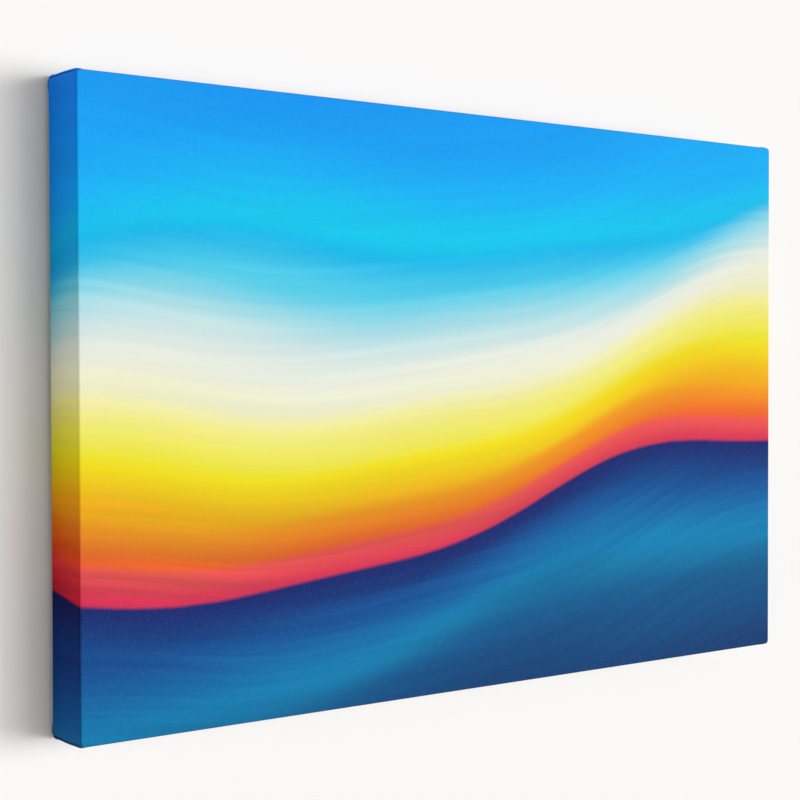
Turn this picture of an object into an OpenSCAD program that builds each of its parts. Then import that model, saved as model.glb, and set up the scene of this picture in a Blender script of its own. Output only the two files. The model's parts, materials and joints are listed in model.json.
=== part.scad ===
// A picture canvas stretched over a keyed pine frame, hung on a wall by a sawtooth hanger.
// The picture faces -Y, +Z is up and the wall is the plane y = 0. The origin is the centre notch
// of the hanger, on the wall plane, so the nail in the wall is where the part is held.

/* [Picture] */
// Width of the frame, over the wood
face_w = 600; // [300:5:1000]
// Height of the frame, over the wood
face_h = 400; // [250:2:700]

/* [Stretcher bars] */
// Depth of a bar, from its front to its back
bar_depth = 40; // [36:1:60]
// Width of a bar, from the outside of the frame to its opening
bar_w = 40; // [38:1:60]
// Width of the raised bead that carries the cloth
bead_w = 10; // [6:0.5:16]
// Width of the slope on the inner side of the bead
bead_slope = 4; // [2:0.5:6]
// Height of the bead above the face behind it
bead_rise = 3; // [1.5:0.25:5]
// Fall of that face from the bead to the opening
face_fall = 2; // [0.5:0.25:4]
// Radius of the outer front edges
front_round = 1; // [0.5:0.25:4]
// Radius of the outer back edges
back_round = 1; // [0.5:0.25:4]
// Radius of the four corners of the frame
corner_round = 2.5; // [0.5:0.25:4]
// Radius of the inner back edges
inner_round = 2; // [0.5:0.25:5]

/* [Corner joints] */
// Thickness of a tongue
tongue_t = 6; // [4:0.5:7]
// Depth of the front tongues below the front of the bars
tongue_depth = 12; // [10:0.5:14]
// Wood left between the front tongues and the back ones
tongue_web = 4; // [2:0.5:5]
// Distance of a tongue's end from the outside of the frame
tongue_inset = 6; // [4:0.5:10]
// Room left beyond a tongue's end
tongue_gap = 1; // [0.5:0.25:3]
// Clearance on each face of a tongue
tongue_clear = 0.1; // [0.05:0.05:0.3]

/* [Corner keys] */
// Height of a key at its thin end
key_tip = 4; // [2.5:0.25:6]
// Angle of the wedge
key_angle = 8; // [5:0.5:12]
// Distance of the thin end from the outside of the frame
key_inset = 10; // [7:0.5:14]
// Length of a key that stands out into the opening
key_out = 12; // [8:1:18]
// Clearance along each edge of a key
key_clear = 0.2; // [0.1:0.05:0.4]
// Clearance on each face of a key
key_side_clear = 0.3; // [0.15:0.05:0.5]

/* [Canvas] */
// Thickness of the cloth
cloth_t = 0.5; // [0.3:0.05:0.6]
// Width of the cloth turned over onto the back
flap = 24; // [16:1:26]
// How much tighter than the wood the cloth turns round an edge
round_gap = 0.3; // [0.1:0.05:0.5]

/* [Staples] */
// Width over a staple's crown
staple_w = 12; // [8:0.5:14]
// Length of a staple's legs
staple_leg = 8; // [6:0.5:10]
// Width of the wire
wire_w = 1.2; // [0.8:0.1:1.6]
// Thickness of the wire
wire_t = 0.6; // [0.4:0.05:0.8]
// Distance between staples
staple_pitch = 46; // [30:1:70]
// Distance of the staples from the outside of the frame
staple_in = 12; // [10:0.5:14]
// Least distance of the end staples from the corners
staple_margin = 55; // [40:1:70]
// Greatest tilt of a staple that was set by hand
staple_tilt = 5; // [0:1:8]

/* [Hanger] */
// Length of the sawtooth plate
plate_l = 44; // [36:1:60]
// Height of the plate
plate_h = 10; // [8:0.5:11]
// Thickness of the plate
plate_t = 0.8; // [0.5:0.1:1]
// Length of each flat tab
plate_tab = 8; // [7:0.5:10]
// Length of each slope between a tab and the raised middle
plate_slope = 3; // [2:0.5:4]
// Room behind the raised middle for the head of the wall's nail
plate_lift = 2.2; // [1.5:0.1:2.4]
// Distance between the notches
notch_pitch = 3; // [2:0.25:4]
// Depth of a notch
notch_depth = 1.5; // [1:0.25:2]
// Diameter of the nails that hold the plate
nail_d = 1.4; // [1:0.1:1.8]
// Length of those nails under the head
nail_l = 14; // [10:1:18]
// Diameter of a nail's head
nail_head_d = 3.2; // [2.6:0.1:4]
// Thickness of a nail's head
nail_head_t = 0.6; // [0.4:0.1:0.8]
// Clearance of a nail in the plate
nail_clear = 0.1; // [0.05:0.05:0.3]

/* [Wall pads] */
// Diameter of a rubber pad
pad_d = 11; // [8:0.5:12]
// Thickness of a pad, which holds the frame off the wall
pad_t = 4; // [3.6:0.1:6]
// Distance of a pad's centre from the side of the frame
pad_in = 58; // [55:1:100]

/* [Hidden] */
$fn = 64;
// Overshoot of a cutter past the face that it cuts
over = 1;
// The depth of things: the wall is y = 0 and the front is towards -Y
back_y = -pad_t;
front_y = back_y - bar_depth;
// The hanger sits in the middle of the bare wood between the cloth and the opening
bare_mid = (flap + bar_w) / 2;
top_z = plate_h / 2 - notch_depth + bare_mid;
mid_z = top_z - face_h / 2;
bottom_z = top_z - face_h;
// The front tongues are on the top and bottom bars, the back ones on the side bars
front_tongue_y = front_y + tongue_depth;
back_tongue_y = front_tongue_y + tongue_t + tongue_web;
slot_t = tongue_t + 2 * tongue_clear;
key_t = slot_t - 2 * key_side_clear;
// At a corner three layers of cloth lie on each other, and five where the turn-overs cross on the back
folded_t = 3 * cloth_t;
packed_t = 5 * cloth_t;
raised_l = plate_l - 2 * plate_tab - 2 * plate_slope;

pine = "burlywood";
beech = "tan";
steel = "silver";
brass = "darkkhaki";

// Takes the corner at the flat origin, in the +X +Y quarter, down to a round of radius r
module round_off(r) {
  difference() {
    translate([-over, -over]) square(r + over);
    translate([r, r]) circle(r);
  }
}

// A w by d rectangle, centred across, from y = 0 up: round r1 at y = 0 and round r2 at y = d
module rounded_box_outline(w, d, r1, r2) {
  difference() {
    translate([-w / 2, 0]) square([w, d]);
    for (side = [0, 1]) {
      mirror([side, 0]) translate([-w / 2, 0]) round_off(r1);
      mirror([side, 0]) translate([-w / 2, d]) mirror([0, 1]) round_off(r2);
    }
  }
}

// Stands a flat outline up in the XZ plane, as a slab from y1 to y2
module upright(y1, y2) {
  translate([0, y2, 0]) rotate([90, 0, 0]) linear_extrude(y2 - y1) children();
}

// ---- Stretcher bars ----

// Section of a bar: X is the distance from the outside of the frame, Y the depth from the front
module bar_section() {
  difference() {
    polygon([
      [0, 0], [bead_w, 0], [bead_w + bead_slope, bead_rise], [bar_w, bead_rise + face_fall],
      [bar_w, bar_depth], [0, bar_depth]
    ]);
    round_off(front_round);
    translate([0, bar_depth]) mirror([0, 1]) round_off(back_round);
    translate([bar_w, bar_depth]) mirror([1, 0]) mirror([0, 1]) round_off(inner_round);
  }
}

// A bar along X with its outside at z = 0, before its joints: mitred, with eased corners
module mitred_bar(length) {
  intersection() {
    translate([-length / 2, front_y, 0]) rotate([90, 0, 90]) linear_extrude(length) rotate(90) mirror([0, 1])
      bar_section();
    upright(front_y - over, back_y + over) difference() {
      polygon([
        [-length / 2, 0], [length / 2, 0], [length / 2 - bar_w, bar_w], [-length / 2 + bar_w, bar_w]
      ]);
      for (side = [0, 1]) mirror([side, 0]) translate([-length / 2, 0]) round_off(corner_round);
    }
  }
}

// Distance of a key's slanted edge from the side of the frame, at the height q above its bar's outside
function key_edge(q) = bar_w + key_clear + key_tip + (q - key_inset) * tan(key_angle);

// The slot at the left end of a bar, flat: it takes the other bar's tongue and the key beside it
module slot_outline() {
  low = tongue_inset - tongue_gap;
  high = bar_w + over;
  polygon([
    [-over, low], [key_edge(low) + key_clear, low], [key_edge(high) + key_clear, high], [-over, high]
  ]);
}

// A whole bar along X with its outside at z = 0: tongues at one depth, slots at the other
module bar(length, tongue_y, slot_y) {
  color(pine) difference() {
    union() {
      mitred_bar(length);
      for (side = [0, 1]) mirror([side, 0, 0]) {
        translate([tongue_inset - length / 2, tongue_y, tongue_inset])
          cube([bar_w, tongue_t, bar_w - tongue_inset]);
      }
    }
    for (side = [0, 1]) mirror([side, 0, 0]) {
      upright(slot_y - tongue_clear, slot_y - tongue_clear + slot_t)
        translate([-length / 2, 0]) slot_outline();
    }
  }
}

module flat_bar() { bar(face_w, front_tongue_y, back_tongue_y); }
module side_bar() { bar(face_h, back_tongue_y, front_tongue_y); }

module bar_bottom() { translate([0, 0, bottom_z]) flat_bar(); }
module bar_top() { translate([0, 0, top_z]) mirror([0, 0, 1]) flat_bar(); }
module bar_left() { translate([-face_w / 2, 0, mid_z]) rotate([0, 90, 0]) side_bar(); }
module bar_right() { mirror([1, 0, 0]) bar_left(); }

// ---- Corner keys ----

// A key in the slot at the left end of a bar along X, whose outside is at z = 0
module key_in_bar(length, slot_y) {
  thick_end = bar_w + key_out;
  color(beech) translate([-length / 2, 0, 0])
    upright(slot_y - tongue_clear + key_side_clear, slot_y - tongue_clear + key_side_clear + key_t)
      polygon([
        [bar_w + key_clear, key_inset], [key_edge(key_inset), key_inset],
        [key_edge(thick_end), thick_end], [bar_w + key_clear, thick_end]
      ]);
}

// The bottom left corner's two keys; the z key slides along Z and the x key along X
module key_z() { translate([0, 0, bottom_z]) key_in_bar(face_w, back_tongue_y); }
module key_x() {
  translate([-face_w / 2, 0, mid_z]) rotate([0, 90, 0]) mirror([1, 0, 0])
    key_in_bar(face_h, front_tongue_y);
}

// Carries a bottom left piece to another corner
module to_right() { mirror([1, 0, 0]) children(); }
module to_top() { translate([0, 0, 2 * mid_z]) mirror([0, 0, 1]) children(); }

// ---- Canvas ----

// The block that the cloth wraps: the wooden frame grown by g, its edges rounded to the radii less ease
module wrapped_block(g, ease) {
  w = face_w + 2 * g;
  h = face_h + 2 * g;
  d = bar_depth + 2 * g;
  r_front = front_round - ease;
  r_back = back_round - ease;
  r_corner = corner_round - ease;
  intersection() {
    translate([0, front_y - g, mid_z - h / 2]) linear_extrude(h) rounded_box_outline(w, d, r_front, r_back);
    translate([-w / 2, front_y - g, mid_z]) rotate([0, 90, 0]) linear_extrude(w)
      rounded_box_outline(h, d, r_front, r_back);
    translate([0, 0, mid_z - h / 2]) upright(front_y - g, back_y + g)
      rounded_box_outline(w, h, r_corner, r_corner);
  }
}

// The folded cloth at the bottom left corner: a wedge under the bottom, which grows towards the back,
// and on the back a flat fold along the bottom with the crossing turn-overs packed on it
module corner_folds() {
  wedge = bar_depth - corner_round;
  translate([-face_w / 2 - cloth_t + corner_round, front_y + corner_round, bottom_z - folded_t])
    linear_extrude(folded_t) polygon([[0, 0], [wedge, wedge], [0, wedge]]);
  lip = back_round - cloth_t;
  translate([-face_w / 2, 0, bottom_z]) {
    upright(back_y, back_y + folded_t)
      polygon([[lip, lip], [bar_depth + lip, lip], [bar_depth + flap, flap], [lip, flap]]);
    upright(back_y, back_y + packed_t) polygon([[lip, lip], [flap, lip], [flap, flap]]);
  }
}

module canvas() {
  color("deepskyblue") difference() {
    union() {
      wrapped_block(cloth_t, round_gap - cloth_t);
      corner_folds();
      to_right() corner_folds();
      to_top() corner_folds();
      to_top() to_right() corner_folds();
    }
    wrapped_block(0, round_gap);
    translate([flap - face_w / 2, back_y - over, bottom_z + flap])
      cube([face_w - 2 * flap, packed_t + 2 * over, face_h - 2 * flap]);
  }
}

// ---- Staples ----

// One staple driven into the back of the frame, its crown along X and seated at height seat
module staple(seat) {
  translate([-staple_w / 2, back_y + seat, -wire_w / 2]) cube([staple_w, wire_t, wire_w]);
  for (side = [0, 1]) mirror([side, 0, 0])
    translate([-staple_w / 2, back_y + seat - staple_leg, -wire_w / 2]) cube([wire_t, staple_leg, wire_w]);
}

// A row of staples along X, centred, with the small tilts of hand work
module staple_row(length) {
  last = floor((length / 2 - staple_margin) / staple_pitch);
  color(steel) for (i = [-last:last])
    translate([i * staple_pitch, 0, staple_in]) rotate([0, staple_tilt * sin(137 * i + length), 0])
      staple(cloth_t);
}

// The two staples of the bottom left corner: one through the pack and one through the flat fold
module corner_staples() {
  color(steel) translate([-face_w / 2, 0, bottom_z]) {
    translate([flap * 2 / 3, 0, flap / 3]) staple(packed_t);
    translate([bar_depth, 0, staple_in]) rotate([0, -staple_tilt, 0]) staple(folded_t);
  }
}

module staples_bottom() { translate([0, 0, bottom_z]) staple_row(face_w); }
module staples_top() { to_top() staples_bottom(); }
module staples_left() { translate([-face_w / 2, 0, mid_z]) rotate([0, 90, 0]) staple_row(face_h); }
module staples_right() { mirror([1, 0, 0]) staples_left(); }
module staples_corners() {
  corner_staples();
  to_right() corner_staples();
  to_top() corner_staples();
  to_top() to_right() corner_staples();
}

// ---- Hanger ----

plate_z = -notch_depth;
nail_x = (plate_l - plate_tab) / 2;
nail_z = plate_z + plate_h / 2;

// Right half of the bent strip seen from above, along its underside and back: slope, flat tab, slope
ramp = raised_l / 2 + plate_slope;
half_plate = [
  [raised_l / 2, plate_lift], [ramp, 0], [plate_l / 2, 0],
  [plate_l / 2, plate_t], [ramp, plate_t], [raised_l / 2, plate_lift + plate_t]
];

module plate_outline() {
  polygon(concat(half_plate, [for (i = [len(half_plate) - 1:-1:0]) [-half_plate[i][0], half_plate[i][1]]]));
}

module hanger_plate() {
  notches = floor((raised_l / 2 - notch_pitch / 2) / notch_pitch);
  color(brass) difference() {
    translate([0, back_y, plate_z]) linear_extrude(plate_h) plate_outline();
    for (i = [-notches:notches]) translate([i * notch_pitch, 0, 0]) upright(back_y, 0)
      polygon([[0, 0], [-notch_pitch / 2, plate_z], [0, plate_z - over], [notch_pitch / 2, plate_z]]);
    for (side = [-1, 1]) translate([side * nail_x, back_y - over, nail_z]) rotate([-90, 0, 0])
      cylinder(d = nail_d + 2 * nail_clear, h = plate_t + 2 * over);
  }
}

module hanger_nails() {
  color(steel) for (side = [-1, 1]) translate([side * nail_x, back_y + plate_t, nail_z]) {
    rotate([90, 0, 0]) cylinder(d = nail_d, h = nail_l);
    rotate([-90, 0, 0]) cylinder(d = nail_head_d, h = nail_head_t);
  }
}

// ---- Wall pads ----

module wall_pad() {
  color("dimgray") translate([0, back_y, bottom_z + bare_mid]) rotate([-90, 0, 0])
    cylinder(d = pad_d, h = pad_t);
}

module wall_pad_left() { translate([pad_in - face_w / 2, 0, 0]) wall_pad(); }
module wall_pad_right() { translate([face_w / 2 - pad_in, 0, 0]) wall_pad(); }

canvas();
bar_top();
bar_bottom();
bar_left();
bar_right();
to_top() key_x();  // key_top_left_x
to_top() key_z();  // key_top_left_z
to_top() to_right() key_x();  // key_top_right_x
to_top() to_right() key_z();  // key_top_right_z
key_x();  // key_bottom_left_x
key_z();  // key_bottom_left_z
to_right() key_x();  // key_bottom_right_x
to_right() key_z();  // key_bottom_right_z
staples_top();
staples_bottom();
staples_left();
staples_right();
staples_corners();
hanger_plate();
hanger_nails();
wall_pad_left();
wall_pad_right();
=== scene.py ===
"""The looks of a picture canvas, stretched over a keyed pine frame and hung on a wall by its hanger."""

import json
import math
import random

import bmesh
import bpy
import numpy as np
from mathutils import Matrix, Vector, noise

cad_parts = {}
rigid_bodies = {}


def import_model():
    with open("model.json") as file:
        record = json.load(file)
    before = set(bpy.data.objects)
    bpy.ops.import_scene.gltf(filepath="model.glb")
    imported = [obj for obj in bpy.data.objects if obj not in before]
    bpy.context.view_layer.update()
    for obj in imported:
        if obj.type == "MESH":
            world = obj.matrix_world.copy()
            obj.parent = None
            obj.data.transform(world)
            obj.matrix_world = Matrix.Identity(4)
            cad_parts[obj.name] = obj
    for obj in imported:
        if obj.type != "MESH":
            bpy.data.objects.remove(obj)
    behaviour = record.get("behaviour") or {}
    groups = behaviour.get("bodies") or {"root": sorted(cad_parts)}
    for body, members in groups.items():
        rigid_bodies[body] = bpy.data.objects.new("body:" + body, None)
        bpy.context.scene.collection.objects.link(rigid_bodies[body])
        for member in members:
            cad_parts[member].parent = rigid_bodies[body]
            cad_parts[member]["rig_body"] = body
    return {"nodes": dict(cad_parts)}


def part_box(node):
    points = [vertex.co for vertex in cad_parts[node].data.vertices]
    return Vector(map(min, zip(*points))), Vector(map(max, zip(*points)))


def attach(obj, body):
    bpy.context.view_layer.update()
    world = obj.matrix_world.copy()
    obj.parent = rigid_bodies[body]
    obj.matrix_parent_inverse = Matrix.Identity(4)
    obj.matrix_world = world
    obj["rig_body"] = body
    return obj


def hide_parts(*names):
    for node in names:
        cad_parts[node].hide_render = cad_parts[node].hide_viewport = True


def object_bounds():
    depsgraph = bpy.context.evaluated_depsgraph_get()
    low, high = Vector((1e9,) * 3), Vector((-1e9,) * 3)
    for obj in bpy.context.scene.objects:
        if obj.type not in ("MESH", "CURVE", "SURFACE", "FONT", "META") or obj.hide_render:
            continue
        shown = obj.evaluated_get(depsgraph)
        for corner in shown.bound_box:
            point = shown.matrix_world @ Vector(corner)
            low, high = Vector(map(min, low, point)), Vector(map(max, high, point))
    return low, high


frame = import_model()
cad_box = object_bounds()
frame_scene = bpy.context.scene
frame_scene.view_settings.view_transform = "Standard"

# ---- Camera ----
# The picture is seen from its left at about eye height, with a slightly long lens, so the left side of the
# canvas shows as a narrow strip. The place is given from the middle of the picture's face.

picture_low, picture_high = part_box("canvas")
face_centre = Vector((
    (picture_low.x + picture_high.x) / 2,
    picture_low.y,
    (picture_low.z + picture_high.z) / 2,
))
camera_offset = Vector((-0.6914, -0.8687, 0.0248))
camera_yaw = math.radians(35.687)
camera_pitch = math.radians(-1.195)
camera_roll = math.radians(-0.142)

camera_data = bpy.data.cameras.new("camera")
camera_data.sensor_width = 36
camera_data.lens = 71.416
camera_data.clip_end = 60
camera = bpy.data.objects.new("camera", camera_data)
frame_scene.collection.objects.link(camera)
turn = Matrix.Rotation(-camera_yaw, 4, "Z")
tip = Matrix.Rotation(math.pi / 2 + camera_pitch, 4, "X")
lean = Matrix.Rotation(camera_roll, 4, "Z")
camera.matrix_world = Matrix.Translation(face_centre + camera_offset) @ turn @ tip @ lean
frame_scene.camera = camera

# ---- Stretcher bars ----
# Four bars of planed pine, sawn from quarter to flat grain, mitred at the corners. Each corner is held by
# a tongue in a slot, dry, so that the keys can open it a little. The CAD bars show as they are.

mm = 0.001  # in metres


def paint(red, green, blue):
    """A colour as it is given, 0 to 255, in the linear values that a shader takes."""
    linear = []
    for value in (red, green, blue):
        share = value / 255
        linear.append(share / 12.92 if share <= 0.04045 else ((share + 0.055) / 1.055) ** 2.4)
    return (*linear, 1)


def put(tree, socket, value):
    """Links a socket to value, or sets it where value is a number, a vector or a colour."""
    if isinstance(value, bpy.types.NodeSocket):
        tree.links.new(value, socket)
    elif value is not None:
        socket.default_value = value


def add(tree, kind, settings=None, **values):
    """A node of that kind, with its settings and its input values by their socket's name."""
    made = tree.nodes.new("ShaderNode" + kind)
    for name, value in (settings or {}).items():
        setattr(made, name, value)
    for name, value in values.items():
        put(tree, made.inputs[name.replace("_", " ")], value)
    return made


def maths(tree, operation, *values):
    """The result of one sum on the values."""
    made = tree.nodes.new("ShaderNodeMath")
    made.operation = operation
    for socket, value in zip(made.inputs, values):
        put(tree, socket, value)
    return made.outputs[0]


def between(tree, value, low, high, to_low=0.0, to_high=1.0):
    """Takes value smoothly from the range low to high onto the range to_low to to_high."""
    made = tree.nodes.new("ShaderNodeMapRange")
    made.interpolation_type = "SMOOTHSTEP"
    for socket, number in zip(made.inputs, (value, low, high, to_low, to_high)):
        put(tree, socket, number)
    return made.outputs[0]


def mixed(tree, share, first, second, blend="MIX"):
    """The colour first with a share of the colour second mixed in."""
    made = add(tree, "Mix", {"data_type": "RGBA", "blend_type": blend})
    # A Mix node has sockets for numbers, vectors and colours, and these are the ones for colours
    for place, value in ((0, share), (6, first), (7, second)):
        put(tree, made.inputs[place], value)
    return made.outputs[2]


def stretched_by(tree, vector, scale):
    """The vector with each of its parts scaled."""
    return add(tree, "Mapping", Vector=vector, Scale=scale).outputs[0]


def mottle(tree, vector, scale, detail=3.0, roughness=0.55):
    """Noise around 0.5."""
    made = add(tree, "TexNoise", Vector=vector, Scale=scale, Detail=detail, Roughness=roughness)
    return made.outputs["Fac"]


def new_group(name, inputs, outputs):
    """A shader node group, with its inputs as (name, kind, value) and its outputs as (name, kind)."""
    tree = bpy.data.node_groups.new(name, "ShaderNodeTree")
    for title, kind, value in inputs:
        socket = tree.interface.new_socket(name=title, in_out="INPUT", socket_type="NodeSocket" + kind)
        if value is not None:
            socket.default_value = value
    for title, kind in outputs:
        tree.interface.new_socket(name=title, in_out="OUTPUT", socket_type="NodeSocket" + kind)
    return tree, tree.nodes.new("NodeGroupInput").outputs, tree.nodes.new("NodeGroupOutput").inputs


def placed(tree, group, **values):
    """The group as a node in tree, with its input values by their socket's name."""
    made = tree.nodes.new("ShaderNodeGroup")
    made.node_tree = group
    for name, value in values.items():
        put(tree, made.inputs[name.replace("_", " ")], value)
    return made.outputs


def new_material(name):
    """A material with its tree and its empty Principled shader."""
    material = bpy.data.materials.new(name)
    material.use_nodes = True
    return material, material.node_tree, material.node_tree.nodes["Principled BSDF"]


def bumped(tree, height, distance):
    """The normal of a surface that rises by distance, in metres, where height goes from 0 to 1."""
    return add(tree, "Bump", Height=height, Distance=distance).outputs[0]


# The tree's rings are long cones about a line far off the bar, so they show as stripes along the grain.
# The light early wood darkens slowly towards the hard late wood and then starts anew.
grain_group, given, gives = new_group(
    "wood grain",
    [
        ("Vector", "Vector", None),
        ("Ring width", "Float", 3 * mm),
        ("Heart across", "Float", 60 * mm),
        ("Heart deep", "Float", 45 * mm),
        ("Early", "Color", paint(236, 208, 164)),
        ("Late", "Color", paint(205, 158, 104)),
        ("Pores", "Float", 0.0),
    ],
    [("Color", "Color"), ("Height", "Float")],
)
t = grain_group
wander = mottle(t, stretched_by(t, given["Vector"], (3.5, 14, 14)), 1.0, 2.0)
wander = maths(t, "MULTIPLY", maths(t, "SUBTRACT", wander, 0.5), 14 * mm)
part = add(t, "SeparateXYZ", Vector=given["Vector"]).outputs
across = maths(t, "ADD", maths(t, "ADD", part[1], given["Heart across"]), wander)
deep = maths(t, "ADD", part[2], given["Heart deep"])
taper = maths(t, "MULTIPLY", part[0], 0.018)
radius = maths(t, "SQRT", maths(t, "ADD", maths(t, "POWER", across, 2.0), maths(t, "POWER", deep, 2.0)))
ring = maths(t, "FRACT", maths(t, "DIVIDE", maths(t, "ADD", radius, taper), given["Ring width"]))
late = maths(t, "MULTIPLY", between(t, ring, 0.35, 0.93), between(t, ring, 0.94, 1.0, 1.0, 0.0))
uneven = mottle(t, stretched_by(t, given["Vector"], (6, 60, 60)), 1.0, 2.0)
late_share = maths(t, "MULTIPLY", late, between(t, uneven, 0.3, 0.7, 0.45, 0.95))
wood = mixed(t, late_share, given["Early"], given["Late"])
fibre = mottle(t, stretched_by(t, given["Vector"], (45, 2600, 2600)), 1.0, 3.0, 0.7)
streak = mottle(t, stretched_by(t, given["Vector"], (4, 130, 130)), 1.0, 2.0)
wood = mixed(t, maths(t, "MULTIPLY", between(t, fibre, 0.35, 0.75), 0.16), wood, given["Late"])
wood = mixed(t, between(t, streak, 0.45, 0.8, 0.0, 0.22), wood, paint(250, 226, 186))
fleck = mottle(t, stretched_by(t, given["Vector"], (320, 3400, 3400)), 1.0, 0.0)
fleck = maths(t, "MULTIPLY", between(t, fleck, 0.66, 0.74), given["Pores"])
wood = mixed(t, fleck, wood, paint(140, 92, 52))
put(t, gives["Color"], wood)
relief = maths(t, "ADD", maths(t, "MULTIPLY", fibre, 0.45), maths(t, "MULTIPLY", late, 0.35))
put(t, gives["Height"], maths(t, "SUBTRACT", relief, maths(t, "MULTIPLY", fleck, 0.5)))

wood_low = Vector((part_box("bar_left")[0].x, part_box("bar_left")[0].y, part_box("bar_bottom")[0].z))
wood_high = Vector((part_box("bar_right")[1].x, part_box("bar_left")[1].y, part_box("bar_top")[1].z))
wood_mid_z = (wood_low.z + wood_high.z) / 2
half_wide = (wood_high.x - wood_low.x) / 2
half_high = (wood_high.z - wood_low.z) / 2

knot_in = 31 * mm  # the knots' distance from the outside of the frame
knot_r = 4 * mm

# For each bar: whether it stands upright, its outer edge and the way in from there, its shift along the log,
# its place off the heart, and where its knot lies along it
bar_cuts = {
    "bar_top": (False, wood_high.z, -1, 0.0, 0.031, 0.020, 0.105),
    "bar_bottom": (False, wood_low.z, 1, 1.3, 0.300, 0.064, -0.170),
    "bar_left": (True, wood_low.x, 1, 2.7, 0.352, 0.033, 0.060 + wood_mid_z),
    "bar_right": (True, wood_high.x, -1, 4.1, 0.262, 0.058, -0.092 + wood_mid_z),
}
for name, (upright, edge, inwards, along, heart_across, heart_deep, knot_at) in bar_cuts.items():
    material, t, shader = new_material("pine_" + name)
    place = add(t, "TexCoord").outputs["Object"]
    at = add(t, "SeparateXYZ", Vector=place).outputs
    run, side = (at[2], at[0]) if upright else (at[0], at[2])
    # A small sound knot pushes the grain aside
    to_knot_run = maths(t, "SUBTRACT", run, knot_at)
    to_knot_side = maths(t, "SUBTRACT", side, edge + inwards * knot_in)
    off_knot = add(t, "CombineXYZ", X=to_knot_run, Y=to_knot_side).outputs[0]
    knot_distance = add(t, "VectorMath", {"operation": "LENGTH"}, Vector=off_knot).outputs["Value"]
    knot_edge = maths(t, "MULTIPLY", mottle(t, off_knot, 260.0, 2.0), 2.4 * mm)
    knot_distance = maths(t, "ADD", knot_distance, knot_edge)
    pushed = maths(t, "ADD", side, between(t, knot_distance, knot_r - 1 * mm, 4 * knot_r, 7 * mm, 0.0))
    grain_place = add(t, "CombineXYZ", X=maths(t, "ADD", run, along), Y=pushed, Z=at[1]).outputs[0]
    grain = placed(
        t,
        grain_group,
        Vector=grain_place,
        Ring_width=2.7 * mm,
        Heart_across=heart_across,
        Heart_deep=heart_deep,
    )
    knot = between(t, knot_distance, knot_r - 0.6 * mm, knot_r + 0.6 * mm, 1.0, 0.0)
    knot_rings = maths(t, "SINE", maths(t, "MULTIPLY", knot_distance, 6200.0))
    knot_colour = mixed(t, between(t, knot_rings, -1.0, 1.0), paint(150, 94, 52), paint(120, 68, 36))
    colour = mixed(t, knot, grain["Color"], knot_colour)
    halo = between(t, knot_distance, knot_r + 0.4 * mm, knot_r + 3.5 * mm, 0.55, 0.0)
    colour = mixed(t, halo, colour, paint(186, 130, 78))
    # The joint line where two bars meet, darkened as painted shade in the seam, and a little grime along it
    in_x = maths(t, "SUBTRACT", half_wide, maths(t, "ABSOLUTE", at[0]))
    in_z = maths(t, "SUBTRACT", half_high, maths(t, "ABSOLUTE", maths(t, "SUBTRACT", at[2], wood_mid_z)))
    off_mitre = maths(t, "ABSOLUTE", maths(t, "SUBTRACT", in_x, in_z))
    on_back = between(t, at[1], wood_high.y - 6 * mm, wood_high.y - 4 * mm)
    seam_shade_and_grime = maths(t, "MULTIPLY", between(t, off_mitre, 0.15 * mm, 0.55 * mm, 0.85, 0.0), on_back)
    colour = mixed(t, seam_shade_and_grime, colour, paint(78, 52, 32))
    smudge = mottle(t, place, 9.0, 4.0)
    colour = mixed(t, between(t, smudge, 0.5, 0.85, 0.0, 0.16), colour, paint(176, 140, 100))
    put(t, shader.inputs["Base Color"], colour)
    put(t, shader.inputs["Roughness"], between(t, grain["Height"], 0.1, 0.7, 0.66, 0.5))
    put(t, shader.inputs["Normal"], bumped(t, grain["Height"], 0.12 * mm))
    shader.inputs["Specular IOR Level"].default_value = 0.35
    bar = frame["nodes"][name]
    bar.data.materials.clear()
    bar.data.materials.append(material)

# ---- Corner keys ----
# Two thin beech wedges in each corner, split along the grain. Tapped further in, they spread the mitre and
# tighten the cloth. Their arrises are broken a little, so each is a bevelled copy of the CAD wedge.


def smooth_piece(name, mesh):
    """Shades the mesh smooth and puts it into the scene as a piece of that name."""
    for face in mesh.polygons:
        face.use_smooth = True
    piece = bpy.data.objects.new(name, mesh)
    frame_scene.collection.objects.link(piece)
    return piece


def eased_copy(name, width):
    """A copy of a CAD node with its flat faces joined up and its edges rounded, which stands for it."""
    source = frame["nodes"][name]
    shape = bmesh.new()
    shape.from_mesh(source.data)
    bmesh.ops.remove_doubles(shape, verts=shape.verts, dist=0.001 * mm)
    bmesh.ops.dissolve_limit(shape, angle_limit=math.radians(0.5), verts=shape.verts, edges=shape.edges)
    mesh = bpy.data.meshes.new(name + "_eased")
    shape.to_mesh(mesh)
    shape.free()
    mesh.materials.clear()
    piece = smooth_piece(name + "_piece", mesh)
    bevel = piece.modifiers.new("eased edges", "BEVEL")
    bevel.width = width
    bevel.segments = 2
    bevel.limit_method = "ANGLE"
    bevel.angle_limit = math.radians(25)
    bevel.harden_normals = True
    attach(piece, source["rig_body"])
    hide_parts(name)
    return piece


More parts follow.
